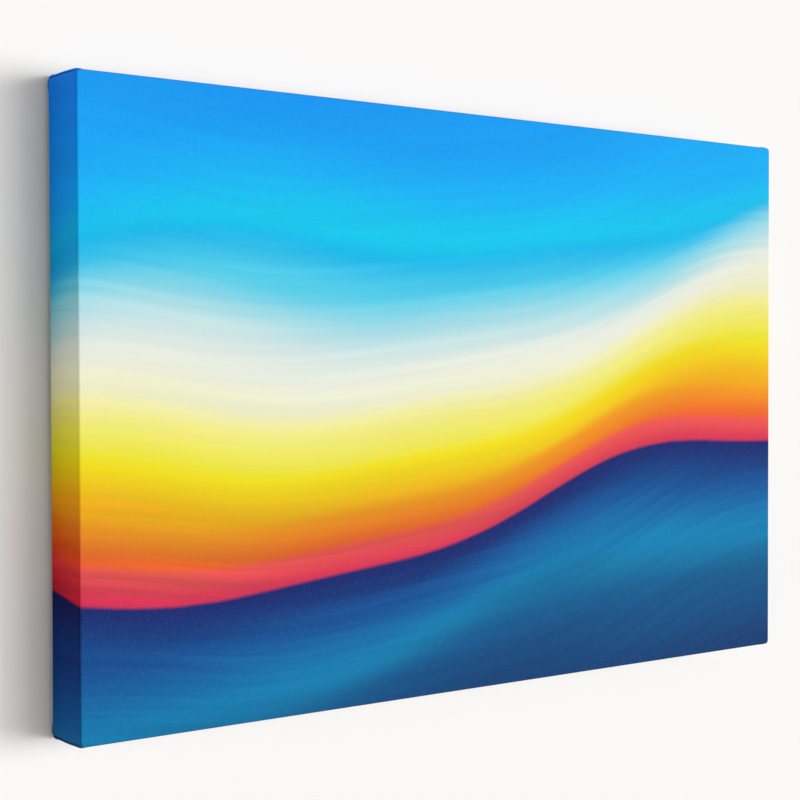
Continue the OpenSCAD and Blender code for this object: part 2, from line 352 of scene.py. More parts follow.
key_names = [n for n in frame["nodes"] if n.startswith("key_")]
for number, name in enumerate(sorted(key_names)):
    along_x = name.endswith("_x")
    material, t, shader = new_material("beech_" + name)
    place = add(t, "TexCoord").outputs["Object"]
    at = add(t, "SeparateXYZ", Vector=place).outputs
    run, side = (at[0], at[2]) if along_x else (at[2], at[0])
    grain_place = add(t, "CombineXYZ", X=maths(t, "ADD", run, 0.37 * number), Y=side, Z=at[1]).outputs[0]
    grain = placed(
        t,
        grain_group,
        Vector=grain_place,
        Ring_width=2.2 * mm,
        Heart_across=0.4 + 0.11 * number,
        Heart_deep=0.12,
        Early=paint(222, 186, 146),
        Late=paint(192, 146, 104),
        Pores=0.75,
    )
    put(t, shader.inputs["Base Color"], grain["Color"])
    put(t, shader.inputs["Roughness"], between(t, grain["Height"], 0.1, 0.7, 0.6, 0.45))
    put(t, shader.inputs["Normal"], bumped(t, grain["Height"], 0.08 * mm))
    shader.inputs["Specular IOR Level"].default_value = 0.35
    key = eased_copy(name, 0.35 * mm)
    key.data.materials.append(material)

# ---- Canvas ----
# One piece of cotton canvas, primed and printed on its face, 728 by 528 mm as cut. It is pulled over the
# front of the bars and down their sides, folded at the corners and turned over onto the back. At each corner
# the side goes straight to the edge, and the spare cloth is tucked away under the top or the bottom.

cloth_thick = 0.43 * mm  # pressed cloth, a little less than the room between two layers
layer = 0.5 * mm  # room that one layer takes
side_wide = wood_high.y - wood_low.y  # width of the side
turn_over = 24 * mm  # turned over onto the back
cut_wide = round(2 * (half_wide + side_wide + turn_over), 4)
cut_high = round(2 * (half_high + side_wide + turn_over), 4)
margin = 10 * mm  # printed part of the turn-over
edge_r = 1.0 * mm  # rounding of the front and back edges
corner_r = 2.5 * mm  # rounding of the frame's four corners
layer_slope = 3.5 * mm  # an upper layer comes down over this length, past the edge of the lower one
trim_waver = 0.9 * mm  # how far the hand-cut edge wavers
staple_line = 12 * mm  # the staples' distance from the outside
staple_pitch = 46 * mm
loose_high = 0.55 * mm  # how far the cloth stands off the wood between two staples
pucker_high = 0.16 * mm  # height of the puckers beside a staple
press_deep = 0.09 * mm  # how far a staple's crown presses the cloth in
swell_high = 0.35 * mm  # swell of the left and the right side at their folded ends
puff_high = 0.7 * mm  # how far the folds stand off the top and the bottom at the back
pack_short = 1.6 * mm  # how far the folded pack on the back stops short of the side
same = 0.0001 * mm  # places closer than this are one
# Grid lines past a fold, in millimetres from it: over the turn-over, and over the side up to its back edge
fine_steps = [0, 0.25, 0.5, 0.75, 1.0, 1.3, 1.7, 2.3, 3.2, 4.5, 6.5, 9, 12, 15, 18, 21, 22.8, 24]
deep_steps = fine_steps + [27, 30, 33] + [side_wide / mm - step for step in fine_steps[9:0:-1]]


def smooth(low, high, value):
    """Goes softly from 0 to 1 as value goes from low to high."""
    share = np.clip((value - low) / (high - low), 0, 1)
    return share * share * (3 - 2 * share)


def line_places(half):
    """The grid lines across the flat cloth, from one cut edge to the other: fine at the folds. The lines
    on both sides of a fold match, so that the layers lie flat on each other."""
    beyond = [step * mm for step in deep_steps] + [side_wide + step * mm for step in fine_steps]
    before = [-place for place in beyond[1:]]
    spacing = 6 * mm
    middle_part = -beyond[-1] - spacing
    inner = np.linspace(-half, middle_part, round((half + middle_part) / spacing))
    past = np.array(sorted(beyond + before + list(inner)))
    return np.concatenate([-(half + past[::-1]), (half + past)[1:]])


def unevenness(points, scale, seed):
    """Soft noise from -1 to 1 at points along a line."""
    flat = np.ravel(points)
    values = [noise.noise(Vector((p / scale, seed, 0.5))) for p in flat]
    return np.array(values).reshape(np.shape(points))


def edge_height(along, into, staples):
    """How high the turned-over cloth stands off the wood, along from a bar's middle and in from its outside,
    with that many staples on either side of the middle one."""
    nearest = np.clip(np.round(along / staple_pitch), -staples, staples) * staple_pitch
    gap = np.abs(along - nearest)
    free = smooth(staple_line - 1 * mm, turn_over, into)
    held = np.exp(-((gap / (11 * mm)) ** 2))
    loose = loose_high * free * (1.1 - held) * (1 + 0.7 * unevenness(along, 17 * mm, 1.9))
    puckers = pucker_high * np.sin(gap / (2.1 * mm)) * np.exp(-gap / (9 * mm)) * smooth(0, 6 * mm, into)
    pressed = np.exp(-((gap / (6 * mm)) ** 4)) * np.exp(-(((into - staple_line) / (1.8 * mm)) ** 2))
    return loose + puckers - press_deep * pressed


def wrapped(u, v, s, t, e, height, puff):
    """Points in space, in the quarter of the frame that u and v are in: s in from the side, t in from the top
    or bottom and e deep from the front. They are lifted off the rounded wood by their height, and off the top
    or bottom by the puff of the folds as well."""
    # First round the frame's four corners, as seen from the front
    p = np.maximum(corner_r - s, 0)
    q = np.maximum(corner_r - t, 0)
    in_corner = (p > 0) & (q > 0)
    most = np.maximum(p, q)
    length = np.where(in_corner, np.hypot(p, q), 1)
    inwards = np.where(in_corner, corner_r - most, np.minimum(s, t))
    across = np.where(in_corner, p / length, s < t)
    up = np.where(in_corner, q / length, s >= t)
    s = np.where(in_corner, corner_r - most * across, s)
    t = np.where(in_corner, corner_r - most * up, t)
    # Then round the front and back edges
    core_in = np.maximum(inwards, edge_r)
    core_deep = np.clip(e, edge_r, side_wide - edge_r)
    length = np.hypot(core_in - inwards, e - core_deep)
    out = (core_in - inwards) / length
    back = (e - core_deep) / length
    moved = core_in - out * (edge_r + height) - inwards
    x_sign = np.where(u < 0, -1.0, 1.0)
    z_sign = np.where(v < 0, -1.0, 1.0)
    x = (wood_low.x + wood_high.x) / 2 + x_sign * (half_wide - s - moved * across)
    y = wood_low.y + core_deep + back * (edge_r + height)
    z = wood_mid_z + z_sign * (half_high - t - moved * up + puff)
    return np.stack([x, y, z], -1)


def cloth_place(u, v):
    """Takes points of the flat cloth to where they lie on the frame, and gives the middle of the cloth."""
    # How far they are past the face, on the flat cloth
    a = np.abs(u) - half_wide
    b = np.abs(v) - half_high
    # The cut edges were trimmed by hand
    trim_a = unevenness(v, 34 * mm, 3.1) * trim_waver
    trim_b = unevenness(u, 34 * mm, 7.7) * trim_waver
    free_a = smooth(0, 12 * mm, -b)
    free_b = smooth(0, 12 * mm, -a)
    a = np.where(a > side_wide, a + trim_a * free_a * (a - side_wide) / turn_over, a)
    b = np.where(b > side_wide, b + trim_b * free_b * (b - side_wide) / turn_over, b)

    # Each corner is folded along its diagonal. The half by the side goes under, and the other half is tucked
    # between that one and the flap. They lie s in from the side, t in from the top or bottom, e deep.
    under = (a > 0) & (b > 0) & (b <= a)
    tucked = (a > 0) & (b > a)
    s = np.where(a <= 0, -a, 0.0)
    t = np.where(b <= 0, -b, 0.0)
    e = np.maximum(np.maximum(a, b), 0.0)
    s = np.where((b <= 0) & (a > side_wide), a - side_wide, s)
    t = np.where((a <= 0) & (b > side_wide), b - side_wide, t)
    turned = under & (a > side_wide)
    s = np.where(under, b, s)
    t = np.where(turned, a - side_wide, t)
    back_side = turned & (b < a - side_wide)
    s = np.where(back_side, a - side_wide, s)
    t = np.where(back_side, b, t)
    s = np.where(tucked, a, s)
    t = np.where(tucked & (b > side_wide), b - side_wide, t)
    e = np.minimum(e, side_wide)
    on_back = e >= side_wide - 1e-9

    # How many layers lie under each: one at the front corner, three along the fold, five on the back.
    # An upper layer stays up until it is past the edge of the lower one, then it comes down in a slope.
    grown = smooth(0, 5 * mm, e)
    sunk = 0.5 * (1 - smooth(0, 2.5 * mm, e))
    start = 0.4 * mm
    pinch = smooth(0, 3 * mm, s)
    in_flap = 1 - smooth(turn_over + 1 * mm, turn_over + 1 * mm + layer_slope, s)
    flat_fold = 2 * smooth(side_wide - 4 * mm, side_wide, e) * pinch * in_flap
    past_fold = 1 - smooth(start, layer_slope, s - e)
    flap = (a <= 0) & (b > 0)
    lift = np.full(u.shape, 0.5)
    lift = np.where(under & ~on_back, 0.5 - sunk + flat_fold, lift)
    lift = np.where(tucked & ~on_back, 0.5 - 0.6 * sunk + grown + flat_fold, lift)
    lift = np.where(flap & ~on_back, 0.5 + 2 * grown * past_fold + flat_fold, lift)
    crossing = smooth(-layer_slope, -start, s - t)
    reach = 1 - smooth(start, layer_slope, s - t - side_wide)
    pack = 2 * in_flap * crossing * pinch
    lift = np.where(under & on_back & ~back_side, 0.5 + 2 * in_flap * pinch, lift)
    lift = np.where(back_side, 0.5 + pinch, lift)
    lift = np.where(tucked & on_back, 1.5 + pack, lift)
    lift = np.where(flap & on_back, 0.5 + 2 * reach + pack, lift)
    # At a sharp crease the cloth's middle lies half way between its two layers
    tiny = 0.02 * mm
    on_fold = (np.abs(a - b) < tiny) & (a > 0)
    lift = np.where(on_fold, 0.5 - 0.8 * sunk + 0.5 * grown + flat_fold, lift)
    lift = np.where((np.abs(a) < tiny) & (b > 0), 0.5 + 1.5 * grown, lift)
    lift = np.where((np.abs(b - a + side_wide) < tiny) & (b > 0), 0.5 + 1.5 * pinch, lift)
    lift = np.where((np.abs(b) < tiny) & (a > side_wide), 0.5 + 0.5 * pinch, lift)
    height = lift * layer

    # The turned-over cloth stands off the wood between two staples, but not where the corner pack holds it
    from_side = (b <= 0) & (a > side_wide)
    from_flap = flap & (b > side_wide)
    along = np.where(from_side, v, u)
    into = np.where(from_side, s, t)
    staples = np.where(from_side, 3, 5)
    away = smooth(turn_over + 6 * mm, turn_over + 22 * mm, np.where(from_side, t, s))
    height = height + np.where(from_side | from_flap, edge_height(along, into, staples) * away, 0)

    # The face is taut, yet not dead flat, and the folded corners swell the sides a little
    on_face = (a <= 0) & (b <= 0)
    drum = smooth(8 * mm, 40 * mm, np.minimum(s, t))
    ripple = unevenness(u * 0.7 + v * 1.1, 90 * mm, 4.4) + unevenness(u - v, 150 * mm, 8.8)
    height = height + np.where(on_face, (0.10 * ripple - 0.12) * drum * mm, 0)
    side = (b <= 0) & (a > 0) & (a <= side_wide)
    swell = smooth(side_wide - 16 * mm, side_wide - 3 * mm, e) * np.exp(-t / (22 * mm))
    height = height + np.where(side, swell_high * swell * smooth(0, 5 * mm, t), 0)
    # The folds under the top and the bottom lie loosely, so they stand off the wood towards the back
    puff = puff_high * smooth(0, 22 * mm, e) * (1 - smooth(24 * mm, 62 * mm, s)) * (1 - smooth(0, 5 * mm, t))
    # The folded pack on the back stops just short of the side
    short = pack_short * smooth(5 * mm, 12 * mm, t) * np.exp(-s / (8 * mm))
    s = np.where((b > side_wide) & (b > a), s + short, s)
    return wrapped(u, v, s, t, e, height, puff)


u_lines = line_places(half_wide)
v_lines = line_places(half_high)
u_grid, v_grid = np.meshgrid(u_lines, v_lines, indexing="ij")
spots = cloth_place(u_grid, v_grid)
columns, rows = u_grid.shape
cloth_faces = []
for i in range(columns - 1):
    for j in range(rows - 1):
        a_pair = np.sort(np.abs(u_lines[i:i + 2]) - half_wide)
        b_pair = np.sort(np.abs(v_lines[j:j + 2]) - half_high)
        quad = [i * rows + j, (i + 1) * rows + j, (i + 1) * rows + j + 1, i * rows + j + 1]
        # The corner folds run slantwise through their cells, which are split along them
        off_fold = min(np.abs(a_pair - past - b_pair).max() for past in (0, side_wide))
        if min(a_pair[1], b_pair[1]) <= 0 or off_fold > same:
            cloth_faces.append(quad)
        elif (u_lines[i] < 0) == (v_lines[j] < 0):
            cloth_faces.append([quad[0], quad[1], quad[2]])
            cloth_faces.append([quad[0], quad[2], quad[3]])
        else:
            cloth_faces.append([quad[0], quad[1], quad[3]])
            cloth_faces.append([quad[1], quad[2], quad[3]])

cloth_mesh = bpy.data.meshes.new("canvas_cloth")
cloth_mesh.from_pydata(spots.reshape(-1, 3).tolist(), [], cloth_faces)
cut_map = cloth_mesh.uv_layers.new(name="cut")
flat_places = np.stack([u_grid.ravel(), v_grid.ravel()], -1)
corner_points = np.empty(len(cloth_mesh.loops), int)
cloth_mesh.loops.foreach_get("vertex_index", corner_points)
cut_map.data.foreach_set("uv", flat_places[corner_points].astype(np.float32).ravel())
canvas = smooth_piece("canvas_cloth", cloth_mesh)
shell = canvas.modifiers.new("cloth thickness", "SOLIDIFY")
shell.thickness = cloth_thick
shell.offset = 0
shell.material_offset = 1
shell.material_offset_rim = 1

# A plain weave: each yarn goes over one and under the next. Yarns vary in thickness along their length.
weave_group, given, gives = new_group(
    "plain weave",
    [("Vector", "Vector", None), ("Pitch", "Float", 0.62 * mm), ("Slubs", "Float", 0.5)],
    [("Height", "Float"), ("Gap", "Float"), ("Speckle", "Float")],
)
t = weave_group
part = add(t, "SeparateXYZ", Vector=given["Vector"]).outputs
drift = add(t, "TexNoise", Vector=stretched_by(t, given["Vector"], (170, 170, 1))).outputs["Color"]
drift = add(t, "SeparateXYZ", Vector=drift).outputs
counts = []
for axis in (0, 1):
    moved = maths(t, "MULTIPLY", maths(t, "SUBTRACT", drift[axis], 0.5), 0.5 * mm)
    counts.append(maths(t, "DIVIDE", maths(t, "ADD", part[axis], moved), given["Pitch"]))
yarns = []
for near, far, bow in ((0, 1, 0.45), (1, 0, -0.45)):
    hump = maths(t, "ABSOLUTE", maths(t, "SINE", maths(t, "MULTIPLY", counts[near], math.pi)))
    phase = maths(t, "ADD", maths(t, "SUBTRACT", counts[far], 0.5), maths(t, "FLOOR", counts[near]))
    wave = maths(t, "COSINE", maths(t, "MULTIPLY", phase, math.pi))
    yarns.append(maths(t, "MULTIPLY", hump, maths(t, "ADD", maths(t, "MULTIPLY", wave, bow), 0.55)))
top = maths(t, "MAXIMUM", yarns[0], yarns[1])
thick_u = mottle(t, stretched_by(t, given["Vector"], (190, 1500, 1)), 1.0, 1.0)
thick_v = mottle(t, stretched_by(t, given["Vector"], (1500, 190, 1)), 1.0, 1.0)
slub = maths(t, "SUBTRACT", maths(t, "ADD", thick_u, thick_v), 1.0)
put(t, gives["Height"], maths(t, "ADD", top, maths(t, "MULTIPLY", slub, given["Slubs"])))
put(t, gives["Gap"], between(t, top, 0.1, 0.5, 1.0, 0.0))
grains = mottle(t, stretched_by(t, given["Vector"], (620, 620, 1)), 1.0, 2.0, 0.8)
speckle = maths(t, "ADD", maths(t, "MULTIPLY", slub, 1.6), maths(t, "SUBTRACT", grains, 0.5))
put(t, gives["Speckle"], speckle)

# One edge of the printed pattern: a flowing line across the picture, leaning up to the right, which gives
# how far a point is below it, in heights of the picture.
edge_group, given, gives = new_group(
    "flowing edge",
    [
        ("Across", "Float", 0.0),
        ("Down", "Float", 0.0),
        ("Base", "Float", 0.5),
        ("Lean", "Float", 0.2),
        ("Swing", "Float", 0.06),
        ("Length", "Float", 1.2),
        ("Shift", "Float", 0.0),
    ],
    [("Below", "Float")],
)
t = edge_group
turns = maths(t, "ADD", maths(t, "DIVIDE", given["Across"], given["Length"]), given["Shift"])
swing = maths(t, "MULTIPLY", maths(t, "SINE", maths(t, "MULTIPLY", turns, 2 * math.pi)), given["Swing"])
ripple = maths(t, "SINE", maths(t, "ADD", maths(t, "MULTIPLY", turns, 4.6 * math.pi), 1.3))
swing = maths(t, "ADD", swing, maths(t, "MULTIPLY", ripple, maths(t, "MULTIPLY", given["Swing"], 0.22)))
lean = maths(t, "MULTIPLY", given["Across"], given["Lean"])
level = maths(t, "SUBTRACT", maths(t, "ADD", given["Base"], swing), lean)
put(t, gives["Below"], maths(t, "SUBTRACT", given["Down"], level))

# The ribbons of colour from the top down: base, swing, length, shift, softness, upper and lower colour
ribbons = [
    (0.10, 0.050, 1.30, 0.05, 0.060, (10, 186, 252), (0, 205, 242)),
    (0.20, 0.055, 1.25, 0.12, 0.020, (0, 188, 240), (86, 212, 240)),
    (0.28, 0.060, 1.15, 0.20, 0.030, (150, 224, 238), (228, 240, 234)),
    (0.37, 0.060, 1.10, 0.26, 0.030, (244, 246, 230), (247, 244, 198)),
    (0.45, 0.055, 1.05, 0.30, 0.030, (251, 244, 140), (246, 236, 40)),
    (0.53, 0.055, 1.00, 0.34, 0.018, (249, 226, 10), (249, 178, 10)),
    (0.60, 0.050, 1.00, 0.39, 0.012, (250, 158, 18), (248, 104, 36)),
    (0.655, 0.050, 1.00, 0.42, 0.008, (246, 88, 82), (222, 48, 84)),
    (0.70, 0.050, 1.02, 0.44, 0.004, (16, 36, 112), (4, 74, 144)),
    (0.77, 0.045, 1.05, 0.50, 0.030, (8, 94, 164), (0, 134, 190)),
    (0.86, 0.045, 1.10, 0.58, 0.025, (0, 132, 182), (0, 102, 152)),
    (0.94, 0.040, 1.20, 0.66, 0.040, (4, 88, 144), (4, 62, 118)),
]

printed, t, shader = new_material("printed_canvas")
cut_place = add(t, "UVMap", {"uv_map": "cut"}).outputs[0]
at = add(t, "SeparateXYZ", Vector=cut_place).outputs
across = maths(t, "DIVIDE", at[0], 2 * half_wide)
down = maths(t, "SUBTRACT", 0.5, maths(t, "DIVIDE", at[1], 2 * half_high))
middle = placed(
    t, edge_group, Across=across, Down=down, Base=0.0, Swing=0.055, Length=1.1, Shift=0.3
)["Below"]
flow = add(t, "CombineXYZ", X=across, Y=middle).outputs[0]
brushed = mottle(t, stretched_by(t, flow, (2.2, 46, 1)), 1.0, 4.0, 0.6)
broad = mottle(t, stretched_by(t, flow, (1.1, 9, 1)), 1.0, 2.0)
feather = maths(t, "MULTIPLY", maths(t, "SUBTRACT", brushed, 0.5), 0.028)
sky_share = between(t, middle, -0.2, 0.2)
colour = mixed(t, sky_share, paint(0, 146, 246), paint(10, 176, 252))
bases = [r[0] for r in ribbons] + [1.08]
for number, (base, swing, length, shift, soft, upper, lower) in enumerate(ribbons):
    below = placed(
        t, edge_group, Across=across, Down=down, Base=base, Swing=swing, Length=length, Shift=shift
    )["Below"]
    below = maths(t, "ADD", below, maths(t, "MULTIPLY", feather, min(1.0, soft / 0.02)))
    fade = between(t, below, 0.0, (bases[number + 1] - base) * 1.15)
    ribbon = mixed(t, fade, paint(*upper), paint(*lower))
    colour = mixed(t, between(t, below, -soft, soft), colour, ribbon)
shade = maths(t, "ADD", maths(t, "MULTIPLY", brushed, 0.5), maths(t, "MULTIPLY", broad, 0.5))
low_part = between(t, down, 0.55, 0.8, 0.25, 1.0)
shade_share = maths(t, "MULTIPLY", low_part, between(t, shade, 0.38, 0.66, 0.30, 0.0))
colour = mixed(t, shade_share, colour, paint(60, 120, 170), "MULTIPLY")
weave = placed(t, weave_group, Vector=cut_place, Pitch=0.62 * mm, Slubs=0.6)
# The ink lies thinner on the high yarns, and the gaps between them are darkened as painted shade
thin = between(t, weave["Speckle"], -0.1, 0.7, 0.010, 0.032)
colour = mixed(t, thin, colour, paint(214, 222, 230))
colour = mixed(t, maths(t, "MULTIPLY", weave["Gap"], 0.07), colour, paint(30, 34, 44))
# Painted shade: the colours on the sides are made deeper than on the face, as though the sides stood in shade
off_u = maths(t, "SUBTRACT", maths(t, "ABSOLUTE", at[0]), half_wide)
off_v = maths(t, "SUBTRACT", maths(t, "ABSOLUTE", at[1]), half_high)
side_shade_share = between(t, maths(t, "MAXIMUM", off_u, off_v), -0.2 * mm, 0.2 * mm)
colour = mixed(t, side_shade_share, colour, add(t, "Gamma", Color=colour, Gamma=1.4).outputs[0])
# Past the print the primer is bare
beyond_u = maths(t, "SUBTRACT", maths(t, "ABSOLUTE", at[0]), half_wide + side_wide)
beyond_v = maths(t, "SUBTRACT", maths(t, "ABSOLUTE", at[1]), half_high + side_wide)
beyond = maths(t, "MAXIMUM", beyond_u, beyond_v)
# The gaps between the yarns of the bare primer are darkened as painted shade
primer = mixed(t, maths(t, "MULTIPLY", weave["Gap"], 0.2), paint(240, 239, 234), paint(196, 192, 182))
colour = mixed(t, between(t, beyond, margin - 0.1 * mm, margin + 0.1 * mm), colour, primer)
# The light that it throws onto the wall is nearly grey, as strong lamps wash the ink's tint out of it
thrown = maths(t, "MULTIPLY", add(t, "LightPath").outputs["Is Diffuse Ray"], 0.7)
put(t, shader.inputs["Base Color"], mixed(t, thrown, colour, paint(194, 192, 188)))
put(t, shader.inputs["Roughness"], between(t, weave["Height"], 0.2, 1.1, 0.72, 0.56))
put(t, shader.inputs["Normal"], bumped(t, weave["Height"], 0.08 * mm))
shader.inputs["Specular IOR Level"].default_value = 0.04

raw, t, shader = new_material("raw_cotton")
cut_place = add(t, "UVMap", {"uv_map": "cut"}).outputs[0]
weave = placed(t, weave_group, Vector=cut_place, Pitch=0.62 * mm, Slubs=0.8)
cotton = mixed(t, between(t, weave["Speckle"], -0.5, 0.6), paint(226, 214, 190), paint(204, 188, 158))
seeds = mottle(t, stretched_by(t, cut_place, (420, 900, 1)), 1.0, 0.0)
cotton = mixed(t, between(t, seeds, 0.72, 0.78, 0.0, 0.6), cotton, paint(140, 108, 70))
# The gaps between the yarns are darkened as painted shade
cotton = mixed(t, maths(t, "MULTIPLY", weave["Gap"], 0.45), cotton, paint(120, 102, 76))
put(t, shader.inputs["Base Color"], cotton)
put(t, shader.inputs["Normal"], bumped(t, weave["Height"], 0.14 * mm))
shader.inputs["Roughness"].default_value = 0.9
shader.inputs["Specular IOR Level"].default_value = 0.15
shader.inputs["Sheen Weight"].default_value = 0.15

cloth_mesh.materials.append(printed)
cloth_mesh.materials.append(raw)
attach(canvas, "frame")
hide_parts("canvas")

# The cut edges fray: short ends of yarn stand out of them, lying near the wood.
thread_draw = random.Random(11)
thread_r = 0.11 * mm
thread_hidden = 0.8 * mm  # length inside the cloth
thread_steps = 5
thread_sides = 5
thread_faces = []
thread_points = []


def tube_faces(base, rings, sides):
    """The faces of a closed tube, whose rings of points are numbered on from base."""
    faces = []
    for ring in range(base, base + (rings - 1) * sides, sides):
        for n in range(sides):
            here = ring + n
            beside = ring + (n + 1) % sides
            faces.append([here, beside, beside + sides, here + sides])
    faces.append([base + n for n in range(sides - 1, -1, -1)])
    faces.append([base + (rings - 1) * sides + n for n in range(sides)])
    return faces


def thread(start, way, rise):
    """A short, slightly curled end of yarn, as a thin tube."""
    length = thread_draw.uniform(0.7, 2.6) * mm
    bend = thread_draw.uniform(-0.5, 0.5)
    deep = Vector((0, 1, 0))
    sideways = way.cross(deep)
    shares = [k / (thread_steps - 1) for k in range(thread_steps)]
    line = []
    for share in shares:
        point = start + way * (length * share - thread_hidden) + sideways * (bend * length * share * share)
        line.append(point + deep * (rise * share * share))
    base = len(thread_points)
    for k, point in enumerate(line):
        ahead = (line[min(k + 1, thread_steps - 1)] - line[max(k - 1, 0)]).normalized()
        first = ahead.cross(deep).normalized()
        second = ahead.cross(first)
        r = thread_r * (1 - 0.5 * shares[k])
        for n in range(thread_sides):
            turned = 2 * math.pi * n / thread_sides
            thread_points.append(point + first * (r * math.cos(turned)) + second * (r * math.sin(turned)))
    thread_faces.extend(tube_faces(base, thread_steps, thread_sides))


for threads_on_side, along_half, cut_half, upright in (
    (120, half_wide - turn_over - 4 * mm, cut_high / 2, False),
    (76, half_high - turn_over - 4 * mm, cut_wide / 2, True),
):
    for sign in (-1, 1):
        for _ in range(threads_on_side):
            along = np.array([thread_draw.uniform(-along_half, along_half)])
            out = np.array([sign * cut_half])
            start = Vector(cloth_place(out, along)[0] if upright else cloth_place(along, out)[0])
            way = Vector((-sign, 0, 0)) if upright else Vector((0, 0, -sign))
            thread(start, way, thread_draw.uniform(-0.15, 0.35) * mm)

thread_mesh = bpy.data.meshes.new("canvas_threads")
thread_mesh.from_pydata([tuple(p) for p in thread_points], [], thread_faces)
threads = smooth_piece("canvas_threads", thread_mesh)
yarn, t, shader = new_material("loose_yarn")
place = add(t, "TexCoord").outputs["Object"]
twist = mottle(t, place, 2600.0, 1.0)
put(t, shader.inputs["Base Color"], mixed(t, twist, paint(238, 232, 216), paint(206, 192, 164)))
put(t, shader.inputs["Normal"], bumped(t, twist, 0.05 * mm))
shader.inputs["Roughness"].default_value = 0.9
shader.inputs["Specular IOR Level"].default_value = 0.15
thread_mesh.materials.append(yarn)
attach(threads, "frame")

# ---- Staples ----
# Galvanised staples of flat wire, shot through the turn-over into the back of the bars. A row on each bar
# and two more at each corner, which hold the folds. The crown lies on the cloth, its ends bent over round.

wire_wide = 1.2 * mm
wire_thick = 0.6 * mm
bend_r = 0.75 * mm
wire_round = 0.2 * mm


def loose_parts(name):
    """The corner points of each separate solid in a CAD node."""
    shape = bmesh.new()
    shape.from_mesh(frame["nodes"][name].data)
    bmesh.ops.remove_doubles(shape, verts=shape.verts, dist=0.001 * mm)
    left = set(shape.verts)
    found = []
    for start in shape.verts:
        if start not in left:
            continue
        left.remove(start)
        queue = [start]
        members = []
        while queue:
            point = queue.pop()
            members.append(point.co.copy())
            for edge in point.link_edges:
                other = edge.other_vert(point)
                if other in left:
                    left.remove(other)
                    queue.append(other)
        found.append(members)
    shape.free()
    return found


def staple_path(width, drop):
    """The middle of the wire in its own plane, from one point to the other, over the crown."""
    half = width / 2 - wire_thick / 2
    r = bend_r - wire_thick / 2
    line = [(-half, -drop), (-half, -drop * 0.5), (-half, -r)]
    for step in range(1, 6):
        turned = math.radians(18 * step)
        line.append((-half + r - r * math.cos(turned), -r + r * math.sin(turned)))
    line.append((-half / 2, 0.0))
    line.append((0.0, 0.0))
    return line + [(-x, y) for x, y in line[-2::-1]]


def wire_section():
    """The rounded section of the flat wire, its thickness first."""
    corners = []
    for number, (a, b) in enumerate(((1, 1), (-1, 1), (-1, -1), (1, -1))):
        for step in range(3):
            turned = math.radians(90 * number + 45 * step)
            corners.append((
                a * (wire_thick / 2 - wire_round) + wire_round * math.cos(turned),
                b * (wire_wide / 2 - wire_round) + wire_round * math.sin(turned),
            ))
    return corners


def closed_mesh(name, points, faces):
    """A mesh of one or more closed solids, with all faces turned outwards."""
    mesh = bpy.data.meshes.new(name)
    mesh.from_pydata([tuple(p) for p in points], [], faces)
    shape = bmesh.new()
    shape.from_mesh(mesh)
    bmesh.ops.recalc_face_normals(shape, faces=shape.faces)
    shape.to_mesh(mesh)
    shape.free()
    return mesh


galvanised, t, shader = new_material("galvanised_wire")
place = add(t, "TexCoord").outputs["Object"]
drawn = mottle(t, place, 900.0, 3.0)
spangle = mottle(t, place, 3200.0, 2.0)
zinc = mixed(t, between(t, drawn, 0.35, 0.7), paint(196, 198, 200), paint(150, 153, 156))
put(t, shader.inputs["Base Color"], zinc)
put(t, shader.inputs["Roughness"], between(t, spangle, 0.3, 0.7, 0.28, 0.46))
put(t, shader.inputs["Normal"], bumped(t, spangle, 0.02 * mm))
shader.inputs["Metallic"].default_value = 1.0

for name in ("staples_top", "staples_bottom", "staples_left", "staples_right", "staples_corners"):
    points = []
    faces = []
    for corners in loose_parts(name):
        cloud = np.array([tuple(c) for c in corners])
        crown_y = cloud[:, 1].max() - wire_thick / 2
        middle = (cloud.max(0) + cloud.min(0)) / 2
        flat = cloud[:, [0, 2]] - middle[[0, 2]]
        # The crown runs along the longer axis of the corner points
        axis = np.linalg.svd(flat - flat.mean(0), full_matrices=False)[2][0]
        width = 2 * np.abs(flat @ axis).max()
        drop = cloud[:, 1].max() - cloud[:, 1].min() - wire_thick / 2
        along = Vector((axis[0], 0, axis[1]))
        cross = Vector((-axis[1], 0, axis[0]))
        path = staple_path(width, drop)
        section = wire_section()
        base = len(points)
        for k, (x, y) in enumerate(path):
            before = path[max(k - 1, 0)]
            after = path[min(k + 1, len(path) - 1)]
            ahead = Vector((after[0] - before[0], after[1] - before[1])).normalized()
            normal = Vector((-ahead.y, ahead.x))
            for p, q in section:
                spot = Vector((middle[0], crown_y + y + normal.y * p, middle[2]))
                points.append(spot + along * (x + normal.x * p) + cross * q)
        faces.extend(tube_faces(base, len(path), len(section)))
    mesh = closed_mesh(name + "_wire", points, faces)
    mesh.materials.append(galvanised)
    staples = smooth_piece(name + "_wire", mesh)
    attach(staples, "frame")
    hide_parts(name)

# ---- Hanger ----
# A strip of thin brass-plated steel, blanked with a row of notches and bent so that its middle stands off
# the wood. Two small nails with domed heads hold it on the top bar, and a nail in the wall sits in a notch.

brass, t, shader = new_material("brass_plate")
place = add(t, "TexCoord").outputs["Object"]
rubbed = mottle(t, stretched_by(t, place, (260, 2400, 2400)), 1.0, 3.0)
tarnish = mottle(t, place, 160.0, 4.0)
metal = mixed(t, between(t, rubbed, 0.3, 0.7), paint(214, 180, 104), paint(192, 154, 82))
metal = mixed(t, between(t, tarnish, 0.52, 0.75, 0.0, 0.45), metal, paint(132, 100, 58))
put(t, shader.inputs["Base Color"], metal)
put(t, shader.inputs["Roughness"], between(t, tarnish, 0.3, 0.75, 0.24, 0.5))
put(t, shader.inputs["Normal"], bumped(t, rubbed, 0.02 * mm))
shader.inputs["Metallic"].default_value = 1.0
plate = eased_copy("hanger_plate", 0.14 * mm)
plate.data.materials.append(brass)


